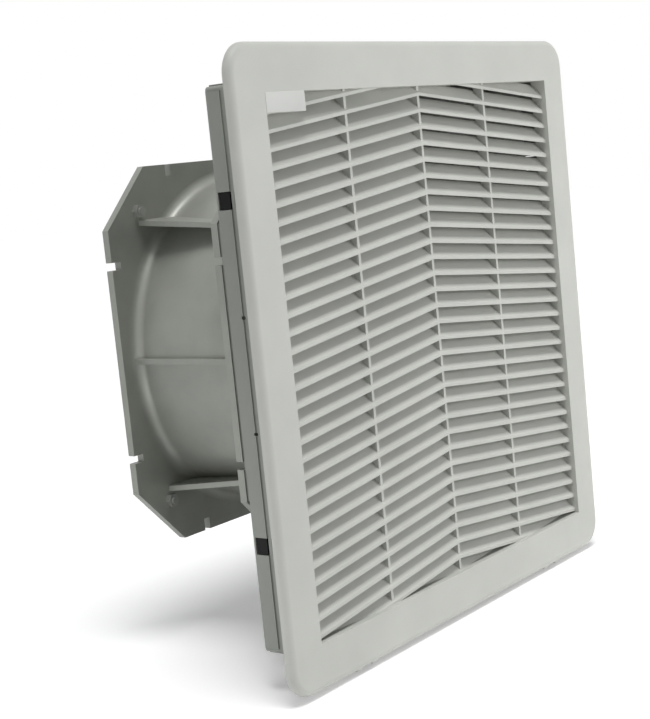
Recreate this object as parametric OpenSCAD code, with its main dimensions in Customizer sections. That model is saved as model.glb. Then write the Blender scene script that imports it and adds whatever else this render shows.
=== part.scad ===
// Enclosure filter fan: a louvred cover, a mounting frame with a filter mat, and an axial fan.
// All sizes in millimetres. +Z is up and the louvres face -Y.
// The origin is the centre of the panel cut-out, in the plane of the panel's outer face.

/* [Front cover] */
// Width and height of the square cover
cover_size = 325; // [280:1:380]
// How far the cover overlaps the panel's cut-out on each side
cover_lap = 17; // [16:0.25:18]
// Radius of the cover's corners
cover_corner_r = 16; // [12:1:22]
// How far the front face stands ahead of the panel
cover_depth = 6; // [5.8:0.1:7]
// Gap between the cover's rim and the panel
cover_gap = 1; // [0.8:0.1:1.2]
// Thickness of the cover's front plate
cover_plate = 1.8; // [1.5:0.1:2]
// Thickness of the cover's rim
cover_rim = 2.5; // [2.3:0.1:2.8]
// Rounding of the cover's front edge
cover_edge_r = 3.8; // [2:0.2:4]
// Width of the plain border around the louvres
border_w = 24.5; // [24:0.5:30]
// Thickness of the wall that frames the louvres
louvre_wall = 2; // [1.5:0.1:2.4]

/* [Louvres] */
// Distance from one louvre to the next
louvre_pitch = 9.1; // [8:0.1:11]
// How much the louvres drop from the middle to each side
louvre_drop = 15; // [6:1:20]
// How far the louvres' front lips lie behind the front face
louvre_setback = 2.7; // [1.5:0.1:3.2]
// Depth of one louvre from its lip to its back edge
louvre_depth = 7.5; // [5:0.5:7.5]
// Rise of one louvre from its lip to its back edge
louvre_rise = 7.5; // [5:0.5:8]
// Height of a louvre's lip
louvre_lip = 1.8; // [1.4:0.1:2.4]
// Distance from the top of the opening to the middle louvre's lip
louvre_first = 4.3; // [2:0.1:7]
// Width of the upright ribs that join the louvres
louvre_rib_w = 2; // [1.5:0.1:3]
// How far the ribs lie behind the lips
louvre_rib_back = 0.8; // [0.4:0.1:1.5]

/* [Badge] */
// Width of the blank badge plate
badge_w = 31; // [20:1:40]
// Height of the blank badge plate
badge_h = 10; // [7:0.5:13]
// Thickness of the blank badge plate
badge_t = 1.2; // [0.8:0.1:1.6]

/* [Cover hinge] */
// Radius of the hinge pins
pin_r = 0.8; // [0.6:0.05:0.9]
// Running clearance around the hinge pins
pin_clear = 0.05; // [0.02:0.01:0.08]
// Radius of the frame's hinge ears
ear_r = 1.6; // [1.5:0.05:1.65]
// Width of one hinge ear
ear_w = 8; // [6:0.5:10]
// Width of each of the cover's lugs beside an ear
lug_w = 5; // [4:0.5:6]
// Side clearance between an ear and a lug
ear_clear = 0.3; // [0.2:0.05:0.4]
// Distance of each hinge from the cover's sides
hinge_in = 62.5; // [55:0.5:75]
// How far the hinge axis lies ahead of the panel
hinge_y = 2.3; // [2.2:0.05:2.4]

/* [Mounting frame] */
// Clearance of the collar in the cut-out on each side
cutout_clear = 1.5; // [1:0.1:2]
// Thickness of the frame's flange
flange_t = 3; // [2.6:0.1:3.1]
// Clearance between the flange and the cover's rim
flange_clear = 1.5; // [1:0.1:2]
// Radius of the flange's corners
flange_corner_r = 12; // [8:1:15]
// Thickness of the collar's walls
collar_wall = 2.5; // [2:0.1:2.6]
// Radius of the collar's corners
collar_corner_r = 2; // [1:0.25:3]
// Thickness of the step behind the filter
step_t = 1.5; // [1.2:0.1:1.5]
// Thickness of the raised band on the collar's sides
band_t = 0.8; // [0.2:0.1:1]
// Distance of the rear box's sides from the collar's sides
box_inset = 25; // [21:0.5:26]
// Depth of the rear box behind the collar
box_room = 24; // [22:0.5:28]
// Depth of the raised seat between the rear box and the fan
fan_seat_d = 8; // [7:0.5:10]
// How far the fan stands out around its raised seat
fan_seat_inset = 1; // [0.5:0.1:2]
// Thickness of the rear box's walls
box_wall = 2.5; // [2:0.1:3]
// Radius of the rear box's corners
box_corner_r = 11; // [8:1:14]
// Rounding of the rear box's back edge
box_edge_r = 4; // [2.5:0.5:5]
// Radius of the small vent holes in the collar
vent_r = 1; // [0.6:0.1:1.4]
// Height of the vent holes above and below the middle
vent_place = 29.5; // [20:0.5:50]

/* [Panel screws and gasket] */
// Radius of the clearance holes for the panel screws
panel_hole_r = 2.25; // [1.8:0.05:2.5]
// Radius of the countersinks for the panel screws
panel_sink_r = 4.2; // [3.6:0.1:4.4]
// Depth of the countersinks for the panel screws
panel_sink_d = 1.4; // [1:0.1:1.6]
// Distance of the panel screws from the flange's sides
panel_hole_in = 5; // [4.5:0.1:5.5]
// Distance of the panel screws from the cover's top and bottom
panel_hole_drop = 42.5; // [30:0.5:60]
// Width of the sealing gasket
gasket_w = 3.5; // [2.5:0.1:3.8]
// Thickness of the sealing gasket when pressed
gasket_t = 1.5; // [1.2:0.1:1.8]
// Distance of the gasket from the collar
gasket_inset = 1.8; // [1.4:0.1:2]

/* [Snap clips] */
// Distance of the clips from the collar's top and bottom
clip_drop = 56.3; // [45:0.1:75]
// Width of a clip
clip_w = 8.2; // [6:0.2:10]
// Clearance around a clip in its window
clip_clear = 0.4; // [0.3:0.05:0.5]
// How far a clip's nose stands out of the collar
clip_nose = 2.8; // [2.2:0.1:3]
// Thickness of a clip's leaf
clip_leaf = 1.5; // [1.2:0.05:1.6]
// Depth of the clip's body in its window
clip_body_d = 7; // [6:0.1:7.2]
// Gap between a clip's body and the frame's step
clip_back = 0.5; // [0.45:0.05:1]
// Gap between the filter mat and a clip's leaf
clip_mat_gap = 3.5; // [3:0.1:4]
// Clearance between the clips and the louvres' backs
clip_front_clear = 0.25; // [0.2:0.05:1]
// Width of the bridge between a clip's window and its slot
clip_bridge = 1.9; // [1.6:0.1:2.2]

/* [Filter] */
// Thickness of the filter mat
mat_t = 15; // [12:0.5:20]
// Gap between the louvres' backs and the mat
mat_front_gap = 2; // [1:0.1:4]
// Clearance of the mat in the collar on each side
mat_clear = 6; // [5.6:0.1:7]
// Depth of the support grid
grid_d = 3.5; // [2.5:0.1:3.6]
// Clearance of the support grid in the collar on each side
grid_clear = 3.2; // [2.8:0.1:4]
// Number of cells along one side of the grid
grid_cells = 9; // [7:1:11]
// Thickness of the grid's ribs
grid_rib = 1.6; // [1.2:0.1:2.2]
// Width of the grid's border
grid_border = 5; // [4:0.5:7]
// Gap between the mat and the grid
mat_gap = 0.3; // [0.2:0.05:0.5]

/* [Fan housing] */
// Distance of the fan's sides from the rear box's sides
fan_inset = 9.5; // [8:0.5:12]
// Depth of the fan housing
fan_depth = 85.5; // [84:0.5:95]
// Thickness of each fan flange
fan_flange = 4.5; // [3.5:0.1:5]
// Length cut off each corner of the fan flanges
fan_chamfer = 34; // [30:1:36]
// Least distance from the duct's bore to the fan's sides
duct_margin = 15; // [14:0.1:16]
// Thickness of the duct's wall
duct_wall = 3; // [2.5:0.1:3.5]
// Flare of the duct where it meets a flange
flare_r = 6; // [3:0.5:6]
// Distance of the edge notches from the fan's sides
notch_in = 54.2; // [51:0.1:60]
// Width of an edge notch
notch_w = 4.5; // [3:0.1:6]
// Depth of an edge notch
notch_d = 7; // [4:0.5:8]
// Distance of the fan's screws from the fan's sides
fan_hole_in = 25; // [24.5:0.1:26]
// Radius of the fan flanges' screw holes
fan_hole_r = 2.25; // [2.1:0.05:2.5]
// Distance of the web plates from the fan's sides
web_in = 38.5; // [37.5:0.5:40.5]
// Angle by which the web plates spread towards the rear flange
web_splay = 5; // [0:0.5:5.5]
// Thickness of the web plates and ribs
web_t = 3; // [2.4:0.1:3.6]
// How far the straight ribs stand out of the duct
rib_out = 3; // [2:0.2:4]

/* [Motor seat] */
// How far the rotor cup stands out past the motor seat
seat_inset = 2; // [0.5:0.1:3]
// Thickness of the motor seat
seat_t = 4; // [3:0.5:5]
// Distance of the motor seat from the duct's rear end
seat_back = 12; // [11:0.5:13]
// Radius of the hole in the middle of the motor seat
seat_hole_r = 14; // [12.5:0.5:16]
// Width of the four struts
strut_w = 7; // [5:0.5:8]
// Depth of the four struts
strut_d = 10; // [8:0.5:10.5]
// Distance of the motor screws from the motor seat's edge
motor_screw_in = 13; // [10:0.5:15]
// Radius of the motor screws
motor_screw_r = 1.5; // [1.2:0.05:1.75]

/* [Motor] */
// Radius of the shaft
shaft_r = 3; // [2.5:0.1:3.5]
// Outer radius of the bearings
bearing_r = 9.5; // [8:0.25:10]
// Width of a bearing
bearing_w = 6; // [5:0.25:6.5]
// Running clearance between a bearing and the shaft
bearing_clear = 0.04; // [0.02:0.01:0.08]
// Wall of the tube that carries the bearings
carrier_wall = 2.5; // [2:0.1:3]
// Thickness of the stator carrier's disc
carrier_t = 3.5; // [3:0.1:4]
// Depth of the laminated cores
core_d = 20; // [16:1:22]
// Thickness of the rotor core's ring
rotor_core_t = 6.4; // [5:0.1:8]
// Air gap between the stator and the rotor
air_gap = 0.6; // [0.4:0.05:0.8]
// Number of winding slots in the stator
slots = 12; // [9:1:14]
// Radius of a winding slot
slot_r = 2.6; // [2.2:0.1:2.8]
// Clearance of the winding in its slots
slot_clear = 0.2; // [0.1:0.05:0.3]
// Depth of each end of the winding
winding_d = 6.5; // [5:0.25:7]
// Outer radius of the rotor cup
cup_r = 45; // [44:0.5:46]
// Depth of the rotor cup
cup_d = 42; // [40:0.5:42.5]
// Thickness of the rotor cup's wall
cup_wall = 2; // [1.6:0.1:2.4]
// Gap between the rotor cup and the stator carrier
cup_gap = 2.5; // [2:0.1:3]

/* [Impeller] */
// Number of blades
blades = 7; // [5:1:9]
// Gap between the blade tips and the duct
tip_gap = 2; // [1.5:0.1:3]
// Thickness of the impeller's hub ring
hub_wall = 3; // [2.4:0.1:3.5]
// Depth of the impeller's hub ring
hub_d = 38; // [34:0.5:40]
// Chord of a blade at the hub
chord_hub = 42; // [30:1:44]
// Chord of a blade at its tip
chord_tip = 56; // [40:1:60]
// Pitch angle of a blade at the hub
pitch_hub = 38; // [30:1:42]
// Pitch angle of a blade at its tip
pitch_tip = 24; // [18:1:30]
// Forward sweep of a blade's tip, in degrees
blade_sweep = 24; // [0:1:30]
// Thickness of a blade in its middle
blade_t = 2.6; // [2:0.1:3.2]

/* [Finger guard] */
// Radius of the guard's wire
wire_r = 1; // [0.8:0.05:1.3]
// Number of rings
guard_rings = 8; // [6:1:10]
// Radius of the smallest ring
guard_inner_r = 16; // [14:1:22]
// Distance of the largest ring from the duct's bore
guard_margin = 1.5; // [0:0.5:6]

/* [Fasteners] */
// Radius of the fan screws
screw_r = 2; // [1.8:0.05:2.05]
// Radius of a screw head
head_r = 4.6; // [4.2:0.1:5]
// Height of a screw head
head_h = 2.6; // [2:0.1:3.2]
// Thickness of a nut
nut_h = 3.2; // [2.6:0.1:4]
// Radius across the corners of a nut
nut_r = 4.1; // [3.6:0.1:4.6]
// Length of the screws that hold the fan to the frame
frame_screw_l = 13; // [11:0.5:14]
// Radius of the frame's screw bosses
boss_r = 5; // [4.4:0.1:6]
// Depth of the frame's screw bosses
boss_d = 12; // [11:0.5:13]

/* [Connection] */
// Gap between the terminal block and the collar's step
block_gap = 0.5; // [0.3:0.1:1]
// Length of the terminal block along the wires
block_z = 22; // [20:0.5:26]
// Height of the terminal block
block_x = 15; // [13:0.5:18]
// Height of the terminal block's middle below the fan's axis
block_drop = 40; // [36:1:60]
// Number of poles
poles = 3; // [2:1:4]
// Clearance around the run capacitor
capacitor_gap = 1.5; // [1:0.1:3]
// Length of the run capacitor
capacitor_l = 44; // [36:1:50]
// Height of the run capacitor's middle above the fan's axis
capacitor_rise = 62; // [56:1:70]
// Radius of the motor lead
lead_r = 2.6; // [2:0.1:2.8]
// Radius of the lead's hole in the duct
lead_hole_r = 4; // [3.8:0.1:4.4]
// Distance of the motor lead above its strut's middle
lead_z = 9.2; // [9:0.1:10]

/* [Hidden] */

$fn = 64;
// Overrun of every cut
over = 1;
// Overlap that welds two solids of one piece
weld = 0.5;
// Facets of a corner that is blended by a hull
blend_fn = 32;

// Cover
cover_half = cover_size / 2;
panel_cutout = cover_size - 2 * cover_lap;
rim_half = cover_half - cover_rim;
window_half = cover_half - border_w;
plate_y = cover_plate - cover_depth;
lip_y = louvre_setback - cover_depth;
louvre_back_y = lip_y + louvre_depth;
louvre_wall_y = louvre_back_y - weld;
rib_y0 = lip_y + louvre_rib_back;
rib_y1 = louvre_back_y - louvre_rib_back;
slope = atan(louvre_drop / window_half);
louvre_top = window_half - louvre_first;
louvre_count = ceil(2 * window_half / louvre_pitch);
louvre_lean = (cover_half + louvre_drop) * sin(slope);
louvre_rib_place = window_half / 2;
tongue_in = 82.5;
tongue_x = cover_half - tongue_in;
tongue_w = 14;
tongue_t = 1.4;
tongue_y = 9;
tongue_clear = 0.5;
badge_proud = 0.4;
badge_y1 = badge_t - badge_proud - cover_depth;

// Frame
collar_half = panel_cutout / 2 - cutout_clear;
collar_in = collar_half - collar_wall;
flange_half = rim_half - flange_clear;
mat_y0 = louvre_back_y + mat_front_gap;
mat_y1 = mat_y0 + mat_t;
grid_y0 = mat_y1 + mat_gap;
step_y = grid_y0 + grid_d;
collar_depth = step_y + step_t;
box_depth = collar_depth + box_room;
box_half = collar_half - box_inset;
box_in = box_half - box_wall;
gasket_in = collar_half + gasket_inset;
gasket_out = gasket_in + gasket_w;
panel_hole_x = flange_half - panel_hole_in;
panel_hole_z = cover_half - panel_hole_drop;
clip_place = collar_half - clip_drop;
clip_body_end = step_y - clip_back;
clip_body_y = clip_body_end - clip_body_d;
band_y = clip_body_y - clip_clear;
band_back = 0.6;
band_half = collar_half - collar_corner_r - weld;
vent_y = band_y;

// Hinge
hinge_z = ear_r - cover_half;
hinge_place = cover_half - hinge_in;
hinge_slot_w = ear_w + 2 * ear_clear;
lug_rise = 1.25 * ear_r;
pin_l = ear_w + 2 * (ear_clear + lug_w);
hinge_notch_w = pin_l + 2 * flange_clear;
hinge_notch_z = 1.25 * ear_r - flange_half;

// Clips
mat_half = collar_in - mat_clear;
clip_in = mat_half + clip_mat_gap;
clip_peak_y = louvre_back_y + clip_leaf / 2 + clip_front_clear;
window_y0 = clip_body_y - 1.5 * clip_clear;
window_y1 = clip_body_end + clip_clear;
slot_y1 = window_y0 - clip_bridge;
slot_y0 = 2;

// Filter
grid_half = collar_in - grid_clear;

// Fan
fan_y0 = box_depth + fan_seat_d;
fan_y1 = fan_y0 + fan_depth;
fan_half = box_half - fan_inset;
fan_hole_place = fan_half - fan_hole_in;
notch_place = fan_half - notch_in;
web_place = fan_half - web_in;
duct_r = fan_half - duct_margin;
duct_out = duct_r + duct_wall;
seat_r = cup_r - seat_inset;
motor_screw_place = seat_r - motor_screw_in;
seat_y1 = fan_y1 - seat_back;
seat_y0 = seat_y1 - seat_t;
strut_y0 = seat_y0 - (strut_d - seat_t) / 3;
strut_y1 = strut_y0 + strut_d;

// Motor
carrier_y0 = seat_y0 - carrier_t;
cup_y1 = carrier_y0 - cup_gap;
cup_y0 = cup_y1 - cup_d;
cup_in = cup_r - cup_wall;
cup_face = 1.25 * cup_wall;
stator_r = cup_in - rotor_core_t - air_gap;
carrier_r = seat_r - cup_wall;
core_y = (cup_y0 + cup_face + cup_y1) / 2;
core_y0 = core_y - core_d / 2;
core_y1 = core_y + core_d / 2;
tube_r = bearing_r + carrier_wall;
tube_y0 = core_y0 - bearing_w / 2;
front_bearing_y0 = tube_y0;
rear_bearing_y1 = seat_y0 - weld;
rear_bearing_y0 = rear_bearing_y1 - bearing_w;
tube_bore_r = bearing_r - carrier_wall / 2;
slot_place = (stator_r + tube_r) / 2 + slot_r;
winding_in = slot_place - 3 * slot_r;
winding_out = slot_place + 2.4 * slot_r;
shaft_y0 = cup_y0 + weld;
shaft_y1 = seat_y0 + 3 * seat_t / 4;
circlip_y = seat_y0 + 0.15 * seat_t;
circlip_t = 0.8;
circlip_r = 1.9 * shaft_r;
groove_depth = 0.1 * shaft_r;
cup_boss_r = 2.2 * shaft_r;
cup_boss_gap = 1;
cup_boss_y1 = tube_y0 - cup_boss_gap;

// Impeller
hub_r = cup_r + hub_wall;
tip_r = duct_r - tip_gap;
hub_y0 = cup_y0 + cup_wall;
blade_y = hub_y0 + hub_d / 2;
radial_steps = 6;
chord_steps = 8;
camber_share = 0.07;
edge_t_share = 0.35;

// Guard
spoke_y = fan_y1 + wire_r;
ring_y = spoke_y + 1.9 * wire_r;
loop_clear = 0.3;
loop_r = screw_r + wire_r + loop_clear;
guard_outer_r = duct_r - guard_margin;

// Frame bosses
boss_y0 = fan_y0 - box_wall - boss_d;
fan_seat_in = fan_half - fan_seat_inset - box_wall;
frame_screw_y1 = fan_y0 + fan_flange;
frame_screw_y0 = frame_screw_y1 - frame_screw_l;

// Connection
side_room = box_room - box_edge_r;
block_mid_y = collar_depth + side_room / 2;
block_y = side_room - 2 * block_gap;
block_x0 = box_half;
block_x1 = box_half + block_x;
pole_pitch = block_y / poles;
capacitor_r = side_room / 2 - capacitor_gap;
capacitor_x = box_half + capacitor_r + capacitor_gap;
strap_t = 0.8;
strap_w = 12;
earth_clear = 1;
earth_x = fan_half - 1.85 * head_r;
earth_z = sqrt(pow(duct_out + flare_r + head_r + earth_clear, 2) - pow(earth_x, 2));
grommet_back = 15.5;
grommet_y = fan_y1 - grommet_back;
grommet_lip = 1.2;
grommet_lip_r = lead_hole_r + grommet_lip;
grommet_slack = 0.1;
seat_lead_in = 9;
seat_lead_x = seat_r - seat_lead_in;
seat_lead_clear = 0.6;
seat_lead_r = lead_r + seat_lead_clear;
lead_in_rise = 8.3;
lead_in = [block_x0 + lead_in_rise, block_mid_y, -block_drop + block_z / 2];
// Points along the middle of the motor lead, from the stator to the terminal block
lead_path = concat(
    [for (p = [[0, -seat_t, 0], [0, 1.5, 0], [2.5, 5.2, 0], [8, 6.6, 0]])
        [seat_lead_x, seat_y1, lead_z] + p],
    [for (p = [[-20.5, 9.4, 0], [-12.5, 4, 0], [-4.5, 0, 0], [6.5, 0, 0],
               [14.5, -2, 0], [19.5, -8.5, -0.5], [21, -18.5, -1.5], [21, -32.5, -3]])
        [duct_r, grommet_y, lead_z] + p],
    [for (p = [[-9.8, 34.5, 31], [-6.3, 26.5, 29], [-1.8, 17.5, 25.5], [0, 9.5, 20.5],
               [0, 4.5, 13.5], [0, 1, 7], [0, 0, 3], [0, 0, 0]])
        lead_in + p]);
// Points along the middle of the capacitor's lead, from its end to the terminal block
capacitor_path = concat(
    [for (p = [[0, 0, 0], [0, 0, -6], [0.2, -2, -13], [0.3, -4, -21]])
        [capacitor_x, block_mid_y, capacitor_rise - capacitor_l / 2] + p],
    [for (p = [[1.6, -5.6, 39], [1.4, -5.8, 27], [1.2, -5.8, 15], [1.2, -5.8, 7], [1.2, -5.8, 0]])
        lead_in + p]);
capacitor_lead_r = 1.4;
lead_sides = 10;

// Terminal block details
block_rib = 1.2;
well_share = 0.38;
well_r = well_share * pole_pitch;
entry_share = 0.28;
entry_r = entry_share * pole_pitch;
well_d = 4.5;
well_clear = 0.2;
tab_l = 7;
tab_share = 0.42;
tab_w = tab_share * block_y;
tab_t = 2;
tab_screw_r = 1.3;
capacitor_rim = 0.8;

// Flat square with round corners
module rounded_square(half, r) {
    square([2 * half, 2 * (half - r)], center = true);
    square([2 * (half - r), 2 * half], center = true);
    for (sx = [-1, 1], sy = [-1, 1])
        translate([sx * (half - r), sy * (half - r)])
            circle(r);
}

// Flat square with cut corners
module cut_square(half, chamfer) {
    polygon([
        for (turn = [0 : 90 : 270], end = [-1, 1])
            let (v = end * (half - chamfer))
                [half * cos(turn) - v * sin(turn), half * sin(turn) + v * cos(turn)]]);
}

// Stands a flat shape up in the XZ plane and thickens it from depth y0 to depth y1
module slab(y0, y1) {
    rotate([90, 0, 0])
        translate([0, 0, -y1])
            linear_extrude(y1 - y0)
                children();
}

// Thickens a flat shape of the YZ plane from x0 to x1
module bar(x0, x1) {
    translate([x0, 0, 0])
        rotate([90, 0, 90])
            linear_extrude(x1 - x0)
                children();
}

// Round rod along Y
module rod(r, y0, y1) {
    translate([0, y1, 0])
        rotate([90, 0, 0])
            cylinder(r = r, h = y1 - y0);
}

// Turns a profile of [radius, depth] points about the Y axis
module turned() {
    rotate([-90, 0, 0])
        rotate_extrude()
            children();
}

// Ring of round wire about the Y axis
module wire_ring(r, wire) {
    rotate([90, 0, 0])
        rotate_extrude()
            translate([r, 0])
                circle(wire, $fn = blend_fn);
}

// Places a child in each of the four corners of a square
module at_corners(place) {
    for (sx = [-1, 1], sz = [-1, 1])
        translate([sx * place, 0, sz * place])
            children();
}

// Square shell whose front or back edge is rounded: edge at depth y_edge, open end at y_open
module soft_tile(half, corner_r, edge_r, y_edge, y_open) {
    turn = y_open > y_edge ? 1 : -1;
    hull()
        at_corners(half - corner_r)
            translate([0, y_edge, 0])
                rotate([turn * -90, 0, 0])
                    rotate_extrude($fn = 2 * blend_fn)
                        intersection() {
                            union() {
                                translate([0, edge_r])
                                    square([corner_r, abs(y_open - y_edge) - edge_r]);
                                square([corner_r - edge_r, edge_r]);
                                translate([corner_r - edge_r, edge_r])
                                    circle(edge_r, $fn = blend_fn);
                            }
                            square([corner_r, abs(y_open - y_edge)]);
                        }
}

// Box between two corners
module block(low, high) {
    translate(low)
        cube(high - low);
}

// Comb of louvre sections in the YZ plane, with the highest one's lip at height top
module louvre_comb(top) {
    for (k = [-1 : louvre_count])
        translate([0, (top - k * louvre_pitch) * cos(slope)])
            polygon([
                [lip_y, -louvre_lip / 2],
                [louvre_back_y, louvre_rise - louvre_lip / 2],
                [louvre_back_y, louvre_rise + louvre_lip / 2],
                [lip_y, louvre_lip / 2]]);
}

// All louvres of the right half, dropping to the side
module louvre_half() {
    intersection() {
        rotate([0, slope, 0])
            bar(-louvre_lean, window_half + louvre_lean)
                louvre_comb(louvre_top);
        block([0, lip_y - over, -cover_half], [cover_half, louvre_back_y + over, cover_half]);
    }
}

// Louvres, ribs and the pad behind the badge, cut off inside the wall that frames them
module grille() {
    grille_half = window_half + louvre_wall / 2;
    intersection() {
        union() {
            louvre_half();
            mirror([1, 0, 0])
                louvre_half();
            for (place = [-1, 0, 1])
                bar(place * louvre_rib_place - louvre_rib_w / 2,
                    place * louvre_rib_place + louvre_rib_w / 2)
                    translate([rib_y0, -cover_half])
                        square([rib_y1 - rib_y0, cover_size]);
            block([-cover_half, badge_y1, window_half - badge_h],
                  [-window_half + badge_w, rib_y1, cover_half]);
        }
        block([-grille_half, -cover_depth, -grille_half],
              [grille_half, louvre_back_y + over, grille_half]);
    }
}

// Places a child at both hinges
module at_hinges() {
    for (side = [-1, 1])
        translate([side * hinge_place, -hinge_y, hinge_z])
            children();
}

module cover_lug(side) {
    x0 = side > 0 ? hinge_slot_w / 2 : -hinge_slot_w / 2 - lug_w;
    block([x0, plate_y + hinge_y - weld, -ear_r],
          [x0 + lug_w, hinge_y - cover_gap, lug_rise]);
}

module cover_shell() {
    difference() {
        soft_tile(cover_half, cover_corner_r, cover_edge_r, -cover_depth, -cover_gap);
        slab(plate_y, over)
            rounded_square(rim_half, cover_corner_r - cover_rim);
        slab(-cover_depth - over, over)
            square(2 * window_half, center = true);
    }
}

module front_cover() {
    color([0.77, 0.77, 0.74])
        difference() {
            union() {
                cover_shell();
                slab(-cover_depth + weld, louvre_wall_y)
                    difference() {
                        square(2 * (window_half + louvre_wall), center = true);
                        square(2 * window_half, center = true);
                    }
                grille();
                block([-window_half - 0.9 * louvre_wall, plate_y, -window_half - 0.9 * louvre_wall],
                      [window_half + 0.9 * louvre_wall, louvre_back_y + weld,
                       -window_half - 0.1 * louvre_wall]);
                for (side = [-1, 1])
                    block([side * tongue_x - tongue_w / 2, plate_y - weld,
                           collar_in - tongue_clear - tongue_t],
                          [side * tongue_x + tongue_w / 2, tongue_y, collar_in - tongue_clear]);
                at_hinges()
                    for (side = [-1, 1])
                        cover_lug(side);
            }
            at_hinges()
                block([-hinge_slot_w / 2, plate_y + hinge_y, -ear_r - over],
                      [hinge_slot_w / 2, hinge_y + over, 2 * ear_r]);
            at_hinges()
                translate([-pin_l / 2 - over, 0, 0])
                    rotate([0, 90, 0])
                        cylinder(r = pin_r, h = pin_l + 2 * over);
        }
}

module badge_plate() {
    color([0.93, 0.93, 0.92])
        block([-window_half, -cover_depth - badge_proud, window_half - badge_h],
              [-window_half + badge_w, badge_y1, window_half]);
}

module hinge_pins() {
    color([0.75, 0.76, 0.78])
        at_hinges()
            translate([-pin_l / 2, 0, 0])
                rotate([0, 90, 0])
                    cylinder(r = pin_r, h = pin_l);
}

// Places a child at both ends of the hinge side, as seen by the frame
module hinge_ears() {
    at_hinges()
        rotate([0, 90, 0])
            translate([0, 0, -ear_w / 2])
                cylinder(r = ear_r, h = ear_w);
    at_hinges()
        block([-ear_w / 2, hinge_y - flange_t, 0],
              [ear_w / 2, ear_r, hinge_notch_z - hinge_z + weld]);
}

// Openings of one clip in the collar's right wall
module clip_openings() {
    half_w = clip_w / 2 + clip_clear;
    block([collar_in - over, window_y0, clip_place - half_w],
          [collar_half + over, window_y1, clip_place + half_w]);
    block([collar_in - over, slot_y0, clip_place - half_w],
          [collar_half + over, slot_y1, clip_place + half_w]);
}

// Places a child for each of the four clips
module at_clips() {
    for (mx = [0, 1], mz = [0, 1])
        mirror([mx, 0, 0])
            mirror([0, 0, mz])
                children();
}

module frame_solids() {
    slab(-flange_t, 0)
        rounded_square(flange_half, flange_corner_r);
    slab(-flange_t, collar_depth)
        rounded_square(collar_half, collar_corner_r);
    for (turn = [0 : 90 : 270])
        rotate([0, turn, 0])
            block([0, band_y, -band_half], [collar_half + band_t, collar_depth - band_back, band_half]);
    soft_tile(box_half, box_corner_r, box_edge_r, box_depth, step_y);
    slab(box_depth - box_wall, fan_y0)
        cut_square(fan_half - fan_seat_inset, fan_chamfer);
    hinge_ears();
}

module mounting_frame() {
    color([0.74, 0.74, 0.71])
        difference() {
            union() {
                difference() {
                    frame_solids();
                    slab(-flange_t - over, step_y)
                        square(2 * collar_in, center = true);
                    slab(step_y - over, box_depth - box_wall)
                        rounded_square(box_in, box_corner_r - box_wall);
                    slab(box_depth - box_wall - over, fan_y0 - box_wall)
                        cut_square(fan_seat_in, fan_chamfer - box_wall * (2 - sqrt(2)));
                }
                at_corners(fan_hole_place)
                    rod(boss_r, boss_y0, fan_y0 - weld);
            }
            rod(duct_r, step_y, fan_y0 + over);
            at_corners(fan_hole_place)
                rod(screw_r, frame_screw_y0, fan_y0 + over);
            at_block_tabs()
                translate([-box_wall - over, 0, 0])
                    rotate([0, 90, 0])
                        cylinder(r = tab_screw_r, h = box_wall + 2 * over);
            slab(-gasket_t, over)
                difference() {
                    square(2 * gasket_out, center = true);
                    square(2 * gasket_in, center = true);
                }
            for (sx = [-1, 1], sz = [-1, 1])
                translate([sx * panel_hole_x, 0, sz * panel_hole_z]) {
                    rod(panel_hole_r, -flange_t - over, over);
                    translate([0, panel_sink_d - flange_t, 0])
                        rotate([90, 0, 0])
                            cylinder(r1 = panel_hole_r, r2 = panel_sink_r, h = panel_sink_d);
                }
            for (side = [-1, 1])
                difference() {
                    block([side * hinge_place - hinge_notch_w / 2, -flange_t - over,
                           -flange_half - over],
                          [side * hinge_place + hinge_notch_w / 2, over, hinge_notch_z]);
                    hinge_ears();
                }
            at_hinges()
                rotate([0, 90, 0])
                    translate([0, 0, -ear_w])
                        cylinder(r = pin_r + pin_clear, h = 2 * ear_w);
            at_clips()
                clip_openings();
            for (side = [-1, 1], height = [-1, 1])
                translate([side * collar_half, vent_y, height * vent_place])
                    rotate([0, 90, 0])
                        translate([0, 0, -collar_wall - over])
                            cylinder(r = vent_r, h = 2 * (collar_wall + over));
        }
}

module panel_gasket() {
    color([0.12, 0.12, 0.12])
        slab(-gasket_t, 0)
            difference() {
                square(2 * gasket_out, center = true);
                square(2 * gasket_in, center = true);
            }
}

module filter_mat() {
    color([0.92, 0.92, 0.9])
        slab(mat_y0, mat_y1)
            square(2 * mat_half, center = true);
}

module mat_grid() {
    pitch = (2 * (grid_half - grid_border) + grid_rib) / grid_cells;
    color([0.72, 0.72, 0.69])
        slab(grid_y0, step_y)
            difference() {
                square(2 * grid_half, center = true);
                for (i = [0 : grid_cells - 1], j = [0 : grid_cells - 1])
                    translate([grid_border - grid_half + i * pitch,
                               grid_border - grid_half + j * pitch])
                        square(pitch - grid_rib);
            }
}

// Right upper clip; its nose stands out of the collar behind the panel
module snap_clip() {
    color([0.1, 0.1, 0.1])
        translate([0, 0, clip_place - clip_w / 2])
            linear_extrude(clip_w)
                polygon([
                    [clip_in, clip_peak_y],
                    [clip_in + 1.3 * clip_leaf, clip_peak_y - clip_leaf / 2],
                    [collar_half - clip_leaf / 2, slot_y0 + clip_clear],
                    [collar_half + clip_nose, clip_peak_y],
                    [collar_in - clip_clear, slot_y1 - clip_clear],
                    [clip_in + clip_leaf, slot_y1],
                    [clip_in + clip_leaf, clip_body_y],
                    [collar_half + clip_clear, clip_body_y],
                    [collar_half + clip_clear, clip_body_end],
                    [clip_in, clip_body_end]]);
}

module clip_right_upper() {
    snap_clip();
}

module clip_right_lower() {
    mirror([0, 0, 1])
        snap_clip();
}

module clip_left_upper() {
    mirror([1, 0, 0])
        snap_clip();
}

module clip_left_lower() {
    mirror([1, 0, 0])
        mirror([0, 0, 1])
            snap_clip();
}

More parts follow.
